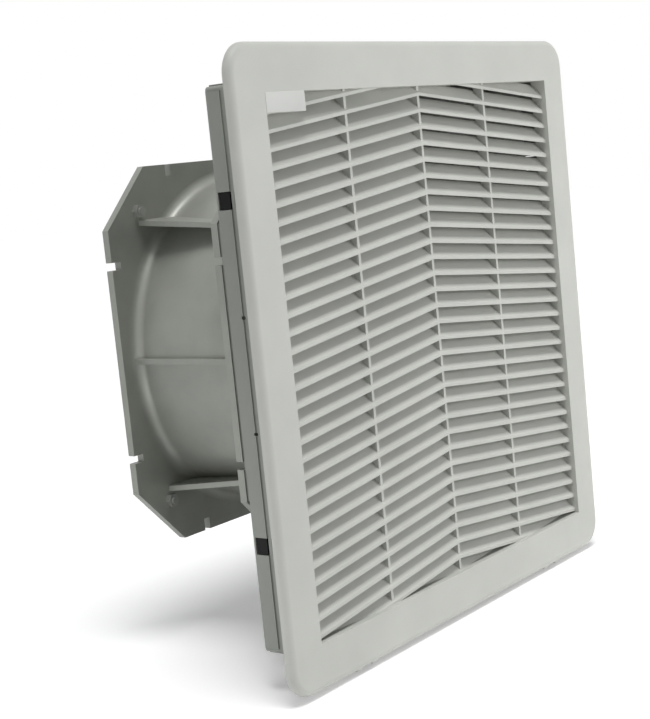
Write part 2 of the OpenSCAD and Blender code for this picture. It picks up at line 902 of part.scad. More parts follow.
// Outline of a fan flange: a square with cut corners and two notches in each side
module fan_outline() {
    difference() {
        cut_square(fan_half, fan_chamfer);
        for (turn = [0 : 90 : 270], side = [-1, 1])
            rotate(turn)
                translate([fan_half - notch_d, side * notch_place - notch_w / 2])
                    square([notch_d + over, notch_w]);
    }
}

// Hollow round where the duct meets a flange, in the plane of radius and depth
module flare_section() {
    difference() {
        square(flare_r);
        translate([flare_r, 0])
            circle(flare_r);
    }
}

module duct_solids() {
    front = fan_y0 + fan_flange;
    back = fan_y1 - fan_flange;
    web_front = sqrt(duct_out * duct_out - web_place * web_place) + 2.5 * web_t;
    web_back = fan_hole_place;
    web_l = back - front;
    slab(fan_y0, front)
        fan_outline();
    slab(back, fan_y1)
        fan_outline();
    turned() {
        translate([0, fan_y0])
            square([duct_out, fan_depth]);
        translate([duct_out, back - flare_r])
            flare_section();
        translate([duct_out, front + flare_r])
            mirror([0, 1])
                flare_section();
    }
    for (turn = [0, 90])
        rotate([0, turn, 0])
            block([-duct_out - rib_out, front - weld, -web_t / 2],
                  [duct_out + rib_out, back + weld, web_t / 2]);
    for (side = [-1, 1])
        translate([0, front, side * web_place])
            rotate([side * web_splay, 0, 0])
                translate([0, 0, -web_t / 2])
                    linear_extrude(web_t)
                        polygon([
                            [-web_front, -weld], [web_front, -weld],
                            [web_back, web_l + 2 * weld], [-web_back, web_l + 2 * weld]]);
}

module motor_seat() {
    difference() {
        union() {
            rod(seat_r, seat_y0, seat_y1);
            for (turn = [0, 90])
                rotate([0, turn, 0])
                    block([-duct_r - weld, strut_y0, -strut_w / 2],
                          [duct_r + weld, strut_y1, strut_w / 2]);
        }
        rod(seat_r, strut_y0 - over, seat_y0);
        rod(seat_hole_r, strut_y0 - over, strut_y1 + over);
        at_carrier_screws()
            rod(motor_screw_r, strut_y0, strut_y1);
        translate([seat_lead_x, 0, lead_z])
            rod(seat_lead_r, strut_y0, strut_y1);
    }
}

module at_carrier_screws() {
    at_corners(motor_screw_place * cos(45))
        children();
}

module fan_housing() {
    color([0.55, 0.56, 0.54])
        difference() {
            union() {
                difference() {
                    duct_solids();
                    rod(duct_r, fan_y0 - over, fan_y1 + over);
                }
                motor_seat();
            }
            at_corners(fan_hole_place)
                rod(fan_hole_r, fan_y0 - over, fan_y1 + over);
            translate([earth_x, 0, earth_z])
                rod(screw_r, fan_y0 - over, fan_y0 + fan_flange + over);
            translate([duct_r - 2 * duct_wall, grommet_y, lead_z])
                rotate([0, 90, 0])
                    cylinder(r = lead_hole_r, h = 4 * duct_wall);
        }
}

// Pan-head screw along Y whose head's flat face lies at depth y and points to the back
module back_screw(y, tip_y, shank_r, cap_r, cap_h) {
    difference() {
        union() {
            rod(shank_r, tip_y, y + weld);
            rod(cap_r, y, y + cap_h);
        }
        for (turn = [0, 90])
            rotate([0, turn, 0])
                block([-cap_r / 2, y + cap_h / 2, -cap_r / 8],
                      [cap_r / 2, y + cap_h + over, cap_r / 8]);
    }
}

module housing_screws() {
    color([0.7, 0.71, 0.72])
        at_corners(fan_hole_place)
            back_screw(frame_screw_y1, frame_screw_y0, screw_r, head_r, head_h);
}

module guard_screws() {
    color([0.7, 0.71, 0.72])
        at_corners(fan_hole_place)
            back_screw(fan_y1 + 2 * wire_r, fan_y1 - fan_flange - nut_h - 2 * weld,
                       screw_r, head_r, head_h);
}

module guard_nuts() {
    color([0.66, 0.67, 0.68])
        at_corners(fan_hole_place)
            difference() {
                translate([0, fan_y1 - fan_flange, 0])
                    rotate([90, 0, 0])
                        cylinder(r = nut_r, h = nut_h, $fn = 6);
                rod(screw_r, fan_y0, fan_y1);
            }
}

module rear_guard() {
    spoke_end = fan_hole_place / cos(45) - loop_r;
    ring_step = (guard_outer_r - guard_inner_r) / (guard_rings - 1);
    color([0.75, 0.76, 0.77]) {
        for (k = [0 : guard_rings - 1])
            translate([0, ring_y, 0])
                wire_ring(guard_inner_r + k * ring_step, wire_r);
        for (turn = [45 : 90 : 315])
            rotate([0, turn, 0])
                translate([guard_inner_r - wire_r / 2, spoke_y, 0])
                    rotate([0, 90, 0])
                        cylinder(r = wire_r, h = spoke_end - guard_inner_r + wire_r / 2);
        at_corners(fan_hole_place)
            translate([0, spoke_y, 0])
                wire_ring(loop_r, wire_r);
    }
}

module stator_carrier() {
    color([0.62, 0.63, 0.64])
        difference() {
            union() {
                rod(carrier_r, carrier_y0, seat_y0);
                rod(tube_r, tube_y0, seat_y0);
            }
            rod(tube_bore_r, tube_y0 - over, seat_y0 + over);
            rod(bearing_r, tube_y0 - over, front_bearing_y0 + bearing_w);
            rod(bearing_r, rear_bearing_y0, seat_y0 + over);
            at_carrier_screws()
                rod(motor_screw_r, carrier_y0 - over, seat_y0 + over);
        }
}

module carrier_screws() {
    color([0.7, 0.71, 0.72])
        at_carrier_screws()
            back_screw(seat_y1, carrier_y0, motor_screw_r, 1.8 * motor_screw_r, 1.2 * motor_screw_r);
}

module at_slots() {
    for (k = [0 : slots - 1])
        rotate([0, k * 360 / slots, 0])
            translate([slot_place, 0, 0])
                children();
}

module stator_core() {
    color([0.35, 0.36, 0.38])
        difference() {
            rod(stator_r, core_y0, core_y1);
            rod(tube_r, core_y0 - over, core_y1 + over);
            at_slots()
                rod(slot_r, core_y0 - over, core_y1 + over);
        }
}

module stator_winding() {
    color([0.72, 0.4, 0.2]) {
        for (y = [core_y0 - winding_d, core_y1])
            difference() {
                rod(winding_out, y, y + winding_d);
                rod(winding_in, y - over, y + winding_d + over);
            }
        at_slots()
            rod(slot_r - slot_clear, core_y0 - weld, core_y1 + weld);
    }
}

module bearing(y0) {
    mid = (bearing_r + shaft_r) / 2;
    difference() {
        rod(bearing_r, y0, y0 + bearing_w);
        rod(shaft_r + bearing_clear, y0 - over, y0 + bearing_w + over);
        for (y = [y0 - over, y0 + bearing_w - weld])
            difference() {
                rod(mid + bearing_r / 6, y, y + over + weld);
                rod(mid - bearing_r / 6, y - over, y + 2 * over + weld);
            }
    }
}

module front_bearing() {
    color([0.8, 0.8, 0.82])
        bearing(front_bearing_y0);
}

module rear_bearing() {
    color([0.8, 0.8, 0.82])
        bearing(rear_bearing_y0);
}

module rotor_cup() {
    color([0.2, 0.2, 0.21])
        difference() {
            union() {
                difference() {
                    rod(cup_r, cup_y0, cup_y1);
                    rod(cup_in, cup_y0 + cup_face, cup_y1 + over);
                }
                rod(cup_boss_r, cup_y0 + cup_face - weld, cup_boss_y1);
            }
            rod(shaft_r, shaft_y0, cup_boss_y1 + over);
        }
}

module rotor_core() {
    color([0.35, 0.36, 0.38])
        difference() {
            rod(cup_in, core_y0, core_y1);
            rod(stator_r + air_gap, core_y0 - over, core_y1 + over);
        }
}

// Share of the way from hub to tip at a radial step
function span_share(i) = max(0, (blade_radius(i) - hub_r) / (tip_r - hub_r));
function blade_radius(i) = cup_r + hub_wall / 2 + i / radial_steps * (tip_r - cup_r - hub_wall / 2);
// Point of a blade's front (side -1) or back (side 1) face
function blade_point(i, j, side) =
    let (f = span_share(i),
         s = j / chord_steps - 1 / 2,
         chord = chord_hub + f * (chord_tip - chord_hub),
         pitch = pitch_hub + f * (pitch_tip - pitch_hub),
         bulge = 1 - 4 * s * s,
         angle = s * chord * cos(pitch) / blade_radius(i) * 180 / PI + f * blade_sweep,
         thick = blade_t * (edge_t_share + (1 - edge_t_share) * bulge),
         y = blade_y + s * chord * sin(pitch) - camber_share * chord * bulge + side * thick / 2)
        [blade_radius(i) * cos(angle), y, blade_radius(i) * sin(angle)];

module blade() {
    row = chord_steps + 1;
    face = (radial_steps + 1) * row;
    points = [for (side = [-1, 1], i = [0 : radial_steps], j = [0 : chord_steps])
        blade_point(i, j, side)];
    cells = [for (i = [0 : radial_steps - 1], j = [0 : chord_steps - 1]) i * row + j];
    front = [for (a = cells) each [[a, a + 1, a + row + 1], [a, a + row + 1, a + row]]];
    back = [for (t = front) [t[2] + face, t[1] + face, t[0] + face]];
    root_tip = [for (j = [0 : chord_steps - 1])
        let (a = j, b = radial_steps * row + j)
            each [[a, a + face, a + face + 1], [a, a + face + 1, a + 1],
                  [b, b + face + 1, b + face], [b, b + 1, b + face + 1]]];
    edges = [for (i = [0 : radial_steps - 1])
        let (a = i * row, b = i * row + chord_steps)
            each [[a, a + row, a + row + face], [a, a + row + face, a + face],
                  [b, b + row + face, b + row], [b, b + face, b + row + face]]];
    polyhedron(points, concat(front, back, root_tip, edges));
}

module impeller() {
    color([0.16, 0.16, 0.17]) {
        difference() {
            rod(hub_r, hub_y0, hub_y0 + hub_d);
            rod(cup_r, hub_y0 - over, hub_y0 + hub_d + over);
        }
        for (k = [0 : blades - 1])
            rotate([0, k * 360 / blades, 0])
                blade();
    }
}

module motor_shaft() {
    color([0.8, 0.8, 0.82])
        difference() {
            rod(shaft_r, shaft_y0, shaft_y1);
            difference() {
                rod(shaft_r + over, circlip_y, circlip_y + circlip_t);
                rod(shaft_r - groove_depth, circlip_y - over, circlip_y + circlip_t + over);
            }
        }
}

module shaft_circlip() {
    color([0.5, 0.5, 0.52])
        difference() {
            rod(circlip_r, circlip_y, circlip_y + circlip_t);
            rod(shaft_r - groove_depth, circlip_y - over, circlip_y + circlip_t + over);
            block([0, circlip_y - over, -shaft_r / 3],
                  [2 * circlip_r, circlip_y + circlip_t + over, shaft_r / 3]);
        }
}

// Places a child at each pole of the terminal block, at the block's outer face
module at_poles() {
    for (k = [0 : poles - 1])
        translate([block_x1, block_mid_y - block_y / 2 + (k + 1 / 2) * pole_pitch, -block_drop])
            children();
}

module terminal_block() {
    low_y = block_mid_y - block_y / 2;
    high_y = block_mid_y + block_y / 2;
    color([0.86, 0.86, 0.83])
        difference() {
            union() {
                block([block_x0, low_y, -block_drop - block_z / 2],
                      [block_x1, high_y, -block_drop + block_z / 2]);
                for (k = [0 : poles])
                    translate([block_x1 - weld, low_y + k * (block_y - block_rib) / poles, 0])
                        block([0, 0, -block_drop - block_z / 2],
                              [weld + block_rib, block_rib, -block_drop + block_z / 2]);
                at_block_tabs()
                    block([0, -tab_w / 2, -tab_l / 2 - weld], [tab_t, tab_w / 2, tab_l / 2 + weld]);
            }
            at_poles()
                for (side = [-1, 1])
                    translate([-well_d, 0, side * block_z / 4])
                        rotate([0, 90, 0])
                            cylinder(r = well_r, h = well_d + over);
            at_poles()
                translate([-block_x * 2 / 3, 0, -block_z / 2 - over])
                    cylinder(r = entry_r, h = block_z / 4 + over);
            at_block_tabs()
                translate([-over, 0, 0])
                    rotate([0, 90, 0])
                        cylinder(r = tab_screw_r, h = tab_t + 2 * over);
        }
}

// Places a child at the two fixing tabs of the terminal block, on the rear box's wall
module at_block_tabs() {
    for (side = [-1, 1])
        translate([block_x0, block_mid_y - side * block_y / 4 - tab_w / 8,
                   -block_drop + side * (block_z / 2 + tab_l / 2)])
            children();
}

// Slotted screw along X that points into the frame, with its head's flat face at x = 0
module side_screw(shank_r, shank_l, cap_r, cap_h) {
    difference() {
        union() {
            translate([-shank_l, 0, 0])
                rotate([0, 90, 0])
                    cylinder(r = shank_r, h = shank_l + weld);
            rotate([0, 90, 0])
                cylinder(r = cap_r, h = cap_h);
        }
        block([cap_h / 2, -cap_r - over, -cap_r / 6], [cap_h + over, cap_r + over, cap_r / 6]);
    }
}

module terminal_screws() {
    color([0.72, 0.7, 0.6])
        at_poles()
            for (side = [-1, 1])
                translate([-well_d, 0, side * block_z / 4])
                    rotate([0, 90, 0])
                        difference() {
                            cylinder(r = well_r - well_clear, h = well_d * 2 / 3);
                            translate([0, 0, well_d])
                                cube([well_r / 3, 3 * well_r, well_d], center = true);
                        }
}

module block_screws() {
    color([0.7, 0.71, 0.72])
        at_block_tabs()
            translate([tab_t, 0, 0])
                side_screw(tab_screw_r, tab_t + box_wall, 1.8 * tab_screw_r, 1.2 * tab_screw_r);
}

module run_capacitor() {
    color([0.9, 0.9, 0.88])
        translate([capacitor_x, block_mid_y, capacitor_rise - capacitor_l / 2]) {
            translate([0, 0, capacitor_rim])
                cylinder(r = capacitor_r, h = capacitor_l - capacitor_rim);
            cylinder(r = capacitor_r - capacitor_rim, h = capacitor_l / 2);
        }
}

module capacitor_strap() {
    color([0.7, 0.71, 0.72])
        difference() {
            union() {
                translate([capacitor_x, block_mid_y, capacitor_rise - strap_w / 2])
                    cylinder(r = capacitor_r + strap_t, h = strap_w);
                block([block_x0, block_mid_y - capacitor_r / 2, capacitor_rise - strap_w / 2],
                      [capacitor_x, block_mid_y + capacitor_r / 2, capacitor_rise + strap_w / 2]);
            }
            translate([capacitor_x, block_mid_y, capacitor_rise - strap_w])
                cylinder(r = capacitor_r, h = 2 * strap_w);
        }
}

module earth_screw() {
    color([0.72, 0.7, 0.6])
        translate([earth_x, 0, earth_z])
            back_screw(fan_y0 + fan_flange, fan_y0 + weld, screw_r, head_r, head_h);
}

module lead_grommet() {
    out_x = duct_out + grommet_slack;
    in_x = sqrt(duct_r * duct_r - pow(lead_z + grommet_lip_r, 2)) - grommet_slack;
    color([0.1, 0.1, 0.1])
        translate([0, grommet_y, lead_z])
            rotate([0, 90, 0])
                difference() {
                    union() {
                        translate([0, 0, in_x - grommet_lip])
                            cylinder(r = lead_hole_r, h = out_x - in_x + 2 * grommet_lip);
                        for (x = [in_x - grommet_lip, out_x])
                            translate([0, 0, x])
                                cylinder(r = grommet_lip_r, h = grommet_lip);
                    }
                    translate([0, 0, in_x - 2 * grommet_lip])
                        cylinder(r = lead_r, h = out_x - in_x + 4 * grommet_lip);
                }
}

function unit(v) = v / norm(v);
function turn_about(v, axis, angle) =
    v * cos(angle) + cross(axis, v) * sin(angle) + axis * (axis * v) * (1 - cos(angle));
// Direction of a path at each of its points
function headings(path) = [for (i = [0 : len(path) - 1])
    i == 0 ? unit(path[1] - path[0]) :
    i == len(path) - 1 ? unit(path[i] - path[i - 1]) :
    unit(unit(path[i] - path[i - 1]) + unit(path[i + 1] - path[i]))];
// Carries a cross direction along the path without twisting it
function carried(across, dirs, i) =
    i == 0 ? across :
    let (last = carried(across, dirs, i - 1), flat = last - dirs[i] * (last * dirs[i]))
        unit(flat);

module tube_along(path, r, sides, across) {
    dirs = headings(path);
    rings = [for (i = [0 : len(path) - 1])
        let (u = carried(across, dirs, i))
            for (k = [0 : sides - 1]) path[i] + r * turn_about(u, dirs[i], k * 360 / sides)];
    last = (len(path) - 1) * sides;
    walls = [for (i = [0 : len(path) - 2], k = [0 : sides - 1])
        let (a = i * sides + k, b = i * sides + (k + 1) % sides)
            each [[a, a + sides, b + sides], [a, b + sides, b]]];
    polyhedron(rings, concat(walls,
        [[for (k = [0 : sides - 1]) k], [for (k = [sides - 1 : -1 : 0]) last + k]]));
}

module motor_lead() {
    color([0.13, 0.13, 0.14])
        tube_along(lead_path, lead_r, lead_sides, [0, 0, 1]);
}

module capacitor_lead() {
    color([0.13, 0.13, 0.14])
        tube_along(capacitor_path, capacitor_lead_r, lead_sides, [1, 0, 0]);
}

front_cover();
badge_plate();
hinge_pins();
mounting_frame();
panel_gasket();
filter_mat();
mat_grid();
clip_left_upper();
clip_left_lower();
clip_right_upper();
clip_right_lower();
fan_housing();
housing_screws();
rear_guard();
guard_screws();
guard_nuts();
stator_carrier();
carrier_screws();
stator_core();
stator_winding();
front_bearing();
rear_bearing();
rotor_cup();
rotor_core();
impeller();
motor_shaft();
shaft_circlip();
terminal_block();
terminal_screws();
block_screws();
run_capacitor();
capacitor_strap();
capacitor_lead();
earth_screw();
lead_grommet();
motor_lead();
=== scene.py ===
# %% [markdown]
# # Enclosure filter fan
# The part is a fan unit for the wall of an electrical cabinet. A square louvred cover closes a
# plastic frame with a filter mat in it, and an axial fan in a cast duct hangs behind the frame.
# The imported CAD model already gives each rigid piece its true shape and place. This lesson sets
# the camera and the light, gives each piece its finish, and remodels what a rigid solid can't
# show well: the fibre mat, the foam gasket, the leads, the blank badge and the fan's blades.

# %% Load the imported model
import math
import bpy
from mathutils import Matrix, Vector


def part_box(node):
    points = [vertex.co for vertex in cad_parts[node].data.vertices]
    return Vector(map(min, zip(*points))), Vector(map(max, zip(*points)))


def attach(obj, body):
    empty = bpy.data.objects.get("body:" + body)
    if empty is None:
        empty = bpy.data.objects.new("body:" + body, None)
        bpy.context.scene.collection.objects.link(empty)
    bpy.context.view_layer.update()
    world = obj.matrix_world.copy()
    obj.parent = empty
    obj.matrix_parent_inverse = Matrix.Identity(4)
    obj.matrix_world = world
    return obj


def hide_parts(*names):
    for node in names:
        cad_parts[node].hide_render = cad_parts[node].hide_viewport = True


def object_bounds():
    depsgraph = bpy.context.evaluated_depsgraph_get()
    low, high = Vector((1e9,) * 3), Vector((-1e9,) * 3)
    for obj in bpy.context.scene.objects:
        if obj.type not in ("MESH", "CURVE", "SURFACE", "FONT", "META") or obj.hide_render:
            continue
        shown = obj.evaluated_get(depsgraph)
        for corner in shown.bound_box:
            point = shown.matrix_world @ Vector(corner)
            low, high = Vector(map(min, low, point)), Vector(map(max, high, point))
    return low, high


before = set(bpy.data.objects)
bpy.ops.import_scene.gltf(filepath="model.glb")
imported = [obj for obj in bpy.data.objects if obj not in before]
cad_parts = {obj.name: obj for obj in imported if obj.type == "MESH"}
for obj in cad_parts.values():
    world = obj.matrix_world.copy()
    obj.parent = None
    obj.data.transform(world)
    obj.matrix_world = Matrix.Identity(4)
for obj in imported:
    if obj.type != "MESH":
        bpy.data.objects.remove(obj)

cad_low, cad_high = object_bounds()
MM = 0.001
print("CAD box in mm:", [round(c / MM, 1) for c in (*cad_low, *cad_high)])

# %% [markdown]
# ## Camera
# The photograph was taken from the left and a little above, with a fairly long lens. Its place
# was worked out from the corners of the cover and of the fan's rear flange. A camera is fully
# set by its place and by which way is ahead and which way is right, so these three go straight
# into its matrix. That keeps the slight roll of the photograph, which aiming at a point loses.

# %% Place the camera
EYE_MM = Vector((-722.4, -479.0, 103.5))
AHEAD = Vector((0.7839, 0.6074, -0.1288)).normalized()
RIGHT = Vector((0.5992, -0.7944, -0.0995)).normalized()
PHOTO_HEIGHT_PX = 719
FOCAL_LENGTH_PX = 1538.8
SENSOR_MM = 36

camera_data = bpy.data.cameras.new("photo_camera")
camera_data.sensor_width = SENSOR_MM
camera_data.lens = FOCAL_LENGTH_PX / PHOTO_HEIGHT_PX * SENSOR_MM
camera_data.clip_start = 10 * MM
camera = bpy.data.objects.new("photo_camera", camera_data)
bpy.context.scene.collection.objects.link(camera)
up = RIGHT.cross(AHEAD).normalized()
right = AHEAD.cross(up)
place = Matrix((right, up, -AHEAD)).transposed().to_4x4()
place.translation = EYE_MM * MM
camera.matrix_world = place
bpy.context.scene.camera = camera
print("lens in mm:", round(camera_data.lens, 2))

# %% [markdown]
# ## Light and floor
# The photograph is a cut-out on white. A high, soft sun gives the short shadow under the fan, a
# softbox at the right and in front lights the cover more on its right side, and a small one near
# the floor does what white paper does there: it lifts the underside of the duct. The world fills
# the shadows. The white background is only a colour that the camera and reflections see, so it
# adds no light.

# %% Light the part
ROOM_LIGHT = 0.21
ROOM_COLOUR = (0.97, 0.985, 1.0, 1.0)
WHITE = (1.0, 1.0, 1.0, 1.0)


def principled(finish):
    """The main shader of a material."""
    return finish.node_tree.nodes["Principled BSDF"]


def seen_directly(tree):
    """1 where a ray comes from the camera, a reflection or through glass, else 0."""
    path = tree.nodes.new("ShaderNodeLightPath")
    first = tree.nodes.new("ShaderNodeMath")
    first.operation = "MAXIMUM"
    tree.links.new(path.outputs["Is Camera Ray"], first.inputs[0])
    tree.links.new(path.outputs["Is Glossy Ray"], first.inputs[1])
    second = tree.nodes.new("ShaderNodeMath")
    second.operation = "MAXIMUM"
    tree.links.new(first.outputs[0], second.inputs[0])
    tree.links.new(path.outputs["Is Transmission Ray"], second.inputs[1])
    return second.outputs[0]


room = bpy.data.worlds.new("studio")
bpy.context.scene.world = room
room.use_nodes = True
tree = room.node_tree
fill = tree.nodes["Background"]
fill.inputs["Color"].default_value = ROOM_COLOUR
fill.inputs["Strength"].default_value = ROOM_LIGHT
backdrop = tree.nodes.new("ShaderNodeBackground")
backdrop.inputs["Color"].default_value = WHITE
choose = tree.nodes.new("ShaderNodeMixShader")
tree.links.new(seen_directly(tree), choose.inputs[0])
tree.links.new(fill.outputs[0], choose.inputs[1])
tree.links.new(backdrop.outputs[0], choose.inputs[2])
tree.links.new(choose.outputs[0], tree.nodes["World Output"].inputs["Surface"])


def lamp(name, towards, strength, softness_deg):
    """A sun that shines from the direction towards, with a soft edge to its shadows."""
    data = bpy.data.lights.new(name, "SUN")
    data.energy = strength
    data.angle = math.radians(softness_deg)
    sun = bpy.data.objects.new(name, data)
    sun.rotation_mode = "QUATERNION"
    sun.rotation_quaternion = Vector(towards).to_track_quat("Z", "Y")
    bpy.context.scene.collection.objects.link(sun)


def softbox(name, place_m, aim_m, watts, width_m):
    """A square lamp at a place, turned towards a point, that the camera doesn't see."""
    data = bpy.data.lights.new(name, "AREA")
    data.energy = watts
    data.size = width_m
    box = bpy.data.objects.new(name, data)
    box.location = place_m
    box.rotation_mode = "QUATERNION"
    box.rotation_quaternion = (Vector(place_m) - Vector(aim_m)).to_track_quat("Z", "Y")
    box.visible_camera = False
    bpy.context.scene.collection.objects.link(box)


lamp("key_light", towards=(-0.12, -0.20, 0.97), strength=2.1, softness_deg=24)
softbox("front_softbox", place_m=(0.44, -0.83, 0.14), aim_m=(0.02, 0, 0), watts=2.9, width_m=0.45)
softbox("floor_bounce", place_m=(-0.33, 0.12, -0.158), aim_m=(-0.11, 0.09, -0.09), watts=0.17,
        width_m=0.16)
print("lamps:", [lamp_data.name for lamp_data in bpy.data.lights])

# %% [markdown]
# ### Floor
# The floor is a plain sheet of white paper. It takes the part's shadow, and its own glow, which
# only the camera and reflections see, lifts it to the white of the background. It lies a little
# below the part, because the cover's face dips under its lower edge when the cover is open.

# %% Lay the floor
FLOOR_DROP = 2.5 * MM
FLOOR_HALF = 6.0
FLOOR_COLOUR = (0.90, 0.90, 0.90, 1.0)
FLOOR_GLOW = 0.26

bpy.ops.object.select_all(action="DESELECT")
bpy.ops.mesh.primitive_plane_add(size=2 * FLOOR_HALF, location=(0, 0, cad_low.z - FLOOR_DROP))
floor = bpy.context.object
floor.name = "floor"
floor_paint = bpy.data.materials.new("floor_white")
floor_paint.use_nodes = True
tree = floor_paint.node_tree
shader = principled(floor_paint)
shader.inputs["Base Color"].default_value = FLOOR_COLOUR
shader.inputs["Roughness"].default_value = 0.9
shader.inputs["Specular IOR Level"].default_value = 0.1
glow = tree.nodes.new("ShaderNodeEmission")
glow.inputs["Color"].default_value = WHITE
lift = tree.nodes.new("ShaderNodeMath")
lift.operation = "MULTIPLY"
lift.inputs[1].default_value = FLOOR_GLOW
tree.links.new(seen_directly(tree), lift.inputs[0])
tree.links.new(lift.outputs[0], glow.inputs["Strength"])
add = tree.nodes.new("ShaderNodeAddShader")
tree.links.new(shader.outputs[0], add.inputs[0])
tree.links.new(glow.outputs[0], add.inputs[1])
tree.links.new(add.outputs[0], tree.nodes["Material Output"].inputs["Surface"])
floor.data.materials.append(floor_paint)
bpy.context.scene.view_settings.view_transform = "Standard"
print("floor at z =", round(floor.location.z / MM, 1), "mm")

# %% [markdown]
# ## Finishes
# Every finish starts from the Principled shader and gets detail from noise that is read in
# Object coordinates, in metres, so a grain keeps its real size on every piece. A first noise
# mottles the colour a little, a second embosses a fine grain, and a third varies the gloss.
# What is the same all over a surface is set on the shader itself.

# %% Helpers for the finishes
MOTTLE_FROM, MOTTLE_TO = 0.3, 0.7  # most noise lies between these, so the colours show in full


def paint(red, green, blue):
    """A colour picked on screen (0 to 255) as the linear colour that shaders work in."""
    def linear(level):
        share = level / 255
        return share / 12.92 if share <= 0.04045 else ((share + 0.055) / 1.055) ** 2.4
    return (linear(red), linear(green), linear(blue), 1.0)


def shaded(colour, share):
    """The same colour, lighter or darker by a share."""
    return tuple(channel * share for channel in colour[:3]) + (1.0,)


def new_finish(name, roughness, metallic=0.0):
    """A new material with its gloss and metal set."""
    finish = bpy.data.materials.new(name)
    finish.use_nodes = True
    principled(finish).inputs["Roughness"].default_value = roughness
    principled(finish).inputs["Metallic"].default_value = metallic
    return finish


def noise_on(finish, size_mm, detail=2.0, stretch=(1.0, 1.0, 1.0)):
    """Noise whose blotches are about size_mm across, as a value from 0 to 1."""
    tree = finish.node_tree
    where = tree.nodes.new("ShaderNodeTexCoord")
    mapping = tree.nodes.new("ShaderNodeMapping")
    mapping.inputs["Scale"].default_value = stretch
    noise = tree.nodes.new("ShaderNodeTexNoise")
    noise.inputs["Scale"].default_value = 1 / (size_mm * MM)
    noise.inputs["Detail"].default_value = detail
    tree.links.new(where.outputs["Object"], mapping.inputs["Vector"])
    tree.links.new(mapping.outputs["Vector"], noise.inputs["Vector"])
    return noise.outputs["Fac"]


def mottle(finish, pattern, dark, light):
    """Colours the finish from dark to light along a pattern."""
    tree = finish.node_tree
    ramp = tree.nodes.new("ShaderNodeValToRGB")
    ramp.color_ramp.elements[0].position = MOTTLE_FROM
    ramp.color_ramp.elements[0].color = dark
    ramp.color_ramp.elements[1].position = MOTTLE_TO
    ramp.color_ramp.elements[1].color = light
    tree.links.new(pattern, ramp.inputs["Fac"])
    tree.links.new(ramp.outputs["Color"], principled(finish).inputs["Base Color"])


def emboss(finish, pattern, depth_mm, strength):
    """Raises the surface along a pattern, for the light only."""
    tree = finish.node_tree
    bump = tree.nodes.new("ShaderNodeBump")
    bump.inputs["Distance"].default_value = depth_mm * MM
    bump.inputs["Strength"].default_value = strength
    tree.links.new(pattern, bump.inputs["Height"])
    tree.links.new(bump.outputs["Normal"], principled(finish).inputs["Normal"])


def vary_gloss(finish, pattern, low, high):
    """Lets the roughness wander between low and high along a pattern."""
    tree = finish.node_tree
    spread = tree.nodes.new("ShaderNodeMapRange")
    spread.inputs["To Min"].default_value = low
    spread.inputs["To Max"].default_value = high
    tree.links.new(pattern, spread.inputs["Value"])
    tree.links.new(spread.outputs["Result"], principled(finish).inputs["Roughness"])


def wear(finish, *nodes):
    """Gives CAD nodes a finish."""
    for node in nodes:
        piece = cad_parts[node]
        piece.data.materials.clear()
        piece.data.materials.append(finish)


# %% [markdown]
# ### Moulded plastic
# The cover and the frame are one light, warm grey plastic. Moulding leaves a fine matt grain of
# under a millimetre and very slight clouds in the colour. The frame's colour is painted darker
# than the cover's, as painted shade, because its collar sits in shade behind the cover. The clips
# are black and matt, so they reflect less.
# One function makes them all, because they differ in colour, gloss and grain alone.

# %% Plastic finishes
def moulded(name, colour, roughness, grain_mm=0.9, grain_depth_mm=0.05, cloud_mm=45):
    """Plastic with a fine grain and slight clouds in its colour."""
    finish = new_finish(name, roughness)
    mottle(finish, noise_on(finish, cloud_mm, 3.0), shaded(colour, 0.95), shaded(colour, 1.03))
    emboss(finish, noise_on(finish, grain_mm, 2.0), grain_depth_mm, 0.35)
    vary_gloss(finish, noise_on(finish, 6.0, 2.0), roughness - 0.06, roughness + 0.06)
    return finish


cover_plastic = moulded("cover_plastic", paint(196, 197, 191), 0.52)
# Painted shade: the frame is the same plastic as the cover, given a darker colour for the shade
# on its collar.
frame_plastic = moulded("frame_plastic", paint(147, 150, 143), 0.58)
grid_plastic = moulded("grid_plastic", paint(176, 178, 172), 0.6)
clip_plastic = moulded("clip_plastic", paint(10, 10, 11), 0.5, grain_mm=0.6)
principled(clip_plastic).inputs["Specular IOR Level"].default_value = 0.15
block_plastic = moulded("block_plastic", paint(226, 225, 216), 0.35, grain_mm=0.7,
                        grain_depth_mm=0.02)
can_plastic = moulded("can_plastic", paint(232, 232, 228), 0.3, grain_mm=0.7, grain_depth_mm=0.02)
wear(cover_plastic, "front_cover")
wear(frame_plastic, "mounting_frame")
wear(grid_plastic, "mat_grid")
wear(clip_plastic, "clip_left_upper", "clip_left_lower", "clip_right_upper", "clip_right_lower")
wear(block_plastic, "terminal_block")
wear(can_plastic, "run_capacitor")

# %% [markdown]
# ### Cast and machined metal
# The fan's housing is a die casting: a satin grey skin with a faint grain and soft clouds where
# the metal flowed. Turned and drawn metal, such as the carrier, the shaft and the guard's wire,
# gets noise that is stretched into fine streaks. The screws are dull with zinc. A Voronoi pattern
# would give the casting crystals, which are too coarse for this alloy, so noise is used here too.

# %% Metal finishes
def cast_metal(name, colour, roughness, metallic, grain_mm=1.3):
    """Metal with a faint grain and soft clouds."""
    finish = new_finish(name, roughness, metallic)
    mottle(finish, noise_on(finish, 28, 4.0), shaded(colour, 0.9), shaded(colour, 1.06))
    emboss(finish, noise_on(finish, grain_mm, 3.0), 0.08, 0.3)
    vary_gloss(finish, noise_on(finish, 9.0, 3.0), roughness - 0.08, roughness + 0.1)
    return finish


def drawn_metal(name, colour, roughness, stretch=(1.0, 0.08, 1.0)):
    """Metal with fine streaks along the axis that stretch makes longest."""
    finish = new_finish(name, roughness, 1.0)
    streaks = noise_on(finish, 0.8, 3.0, stretch)
    mottle(finish, streaks, shaded(colour, 0.88), shaded(colour, 1.05))
    emboss(finish, streaks, 0.02, 0.25)
    vary_gloss(finish, noise_on(finish, 4.0, 2.0), roughness - 0.06, roughness + 0.08)
    return finish


